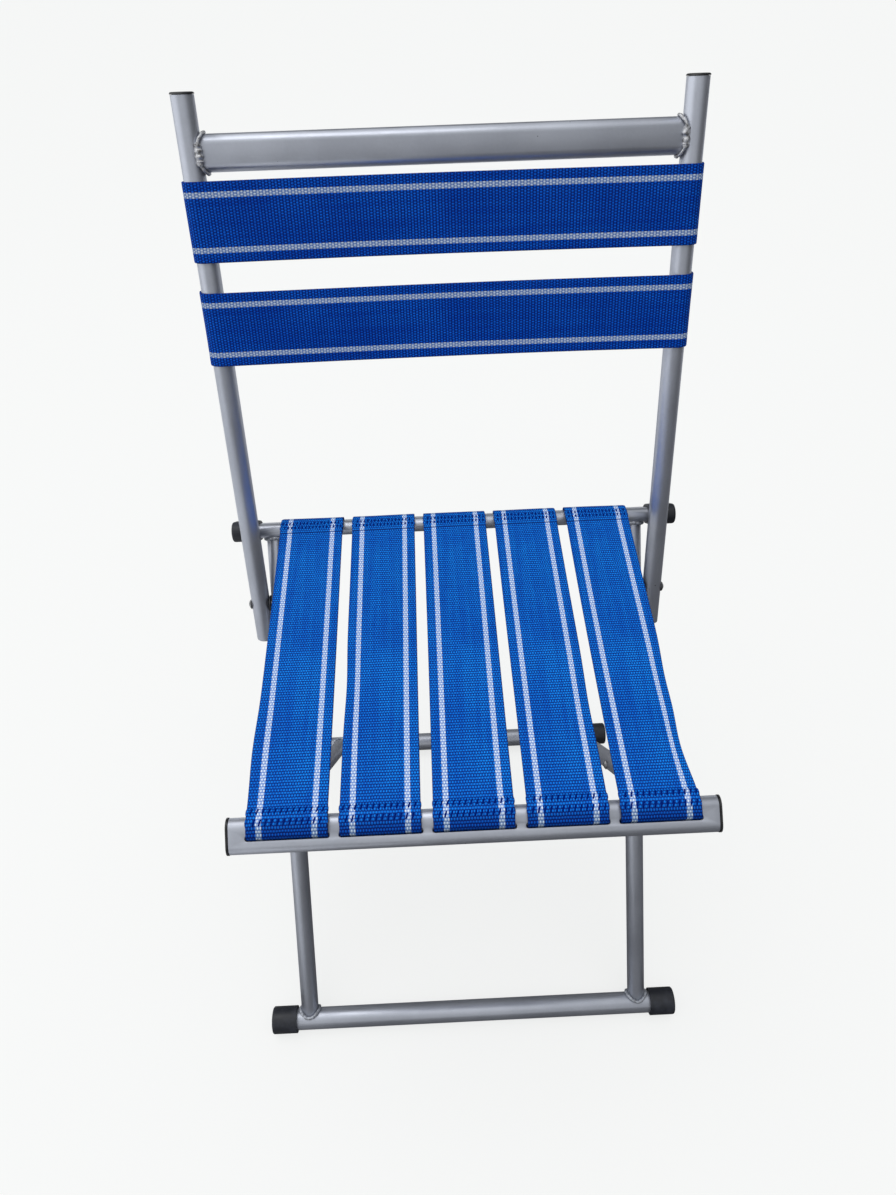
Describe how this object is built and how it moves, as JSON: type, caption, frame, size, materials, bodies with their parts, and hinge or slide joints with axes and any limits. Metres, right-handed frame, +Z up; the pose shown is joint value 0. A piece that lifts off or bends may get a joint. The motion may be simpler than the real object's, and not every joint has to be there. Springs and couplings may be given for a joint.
{
  "type": "folding lawn chair",
  "caption": "Low folding outdoor chair with crossed tube legs, a hinged back and woven webbing straps across the seat and back.",
  "frame": {"origin": "on the ground, midway between the two sides and midway between the front of the front feet and the back of the backrest's top", "axes": "+Z is up, +X is to the right seen from the front, -Y is the way a sitter faces"},
  "size_m": [0.4316, 0.4541, 0.7866],
  "materials": {
    "painted_steel": "satin silver-grey paint",
    "bright_steel": "plain zinc",
    "weld_metal": "rough painted bead",
    "black_rubber": "satin",
    "black_plastic": "satin",
    "nylon": "matte",
    "webbing": "plain-woven blue polypropylene with a pale stripe near each edge"
  },
  "bodies": {
    "outer_frame": {"outer_leg_left": "painted_steel", "outer_leg_right": "painted_steel", "front_foot_left": "black_rubber", "front_foot_right": "black_rubber", "outer_leg_floor_weld_left": "weld_metal", "outer_leg_floor_weld_right": "weld_metal", "outer_leg_rail_weld_left": "weld_metal", "outer_leg_rail_weld_right": "weld_metal", "front_floor_bar": "painted_steel", "rear_seat_rail": "painted_steel", "rear_strap_rod": "bright_steel", "rear_rail_cap_left": "black_rubber", "rear_rail_cap_right": "black_rubber", "scissor_rivet_left": "bright_steel", "scissor_rivet_right": "bright_steel", "scissor_washer_left": "nylon", "scissor_washer_right": "nylon", "seat_strap_1": "webbing", "seat_strap_2": "webbing", "seat_strap_3": "webbing", "seat_strap_4": "webbing", "seat_strap_5": "webbing"},
    "inner_frame": {"inner_leg_left": "painted_steel", "inner_leg_right": "painted_steel", "rear_foot_left": "black_rubber", "rear_foot_right": "black_rubber", "inner_leg_floor_weld_left": "weld_metal", "inner_leg_floor_weld_right": "weld_metal", "inner_leg_rail_weld_left": "weld_metal", "inner_leg_rail_weld_right": "weld_metal", "rear_floor_bar": "painted_steel", "front_seat_rail": "painted_steel", "front_strap_rod": "bright_steel", "front_rail_plug_left": "black_plastic", "front_rail_plug_right": "black_plastic"},
    "backrest": {"backrest_post_left": "painted_steel", "backrest_post_right": "painted_steel", "post_plug_left": "black_plastic", "post_plug_right": "black_plastic", "crossbar_weld_left": "weld_metal", "crossbar_weld_right": "weld_metal", "band_rod_left": "bright_steel", "band_rod_right": "bright_steel", "backrest_rivet_left": "bright_steel", "backrest_rivet_right": "bright_steel", "backrest_washer_left": "nylon", "backrest_washer_right": "nylon", "top_crossbar": "painted_steel", "lower_back_band": "webbing", "upper_back_band": "webbing"}
  },
  "joints": [
    {"name": "frame_fold", "type": "hinge", "parent": "outer_frame", "child": "inner_frame", "pos_m": [0, -0.04238, 0.22262], "axis": [-1, 0, 0], "range_deg": [0, 70], "deforming": ["seat_strap_1", "seat_strap_2", "seat_strap_3", "seat_strap_4", "seat_strap_5"]},
    {"name": "backrest_fold", "type": "hinge", "parent": "outer_frame", "child": "backrest", "pos_m": [0, 0.0744, 0.36529], "axis": [1, 0, 0], "range_deg": [0, 154]}
  ],
  "couplings": [
    {"joint": "backrest_fold", "follows": "frame_fold", "ratio": 2.2}
  ]
}
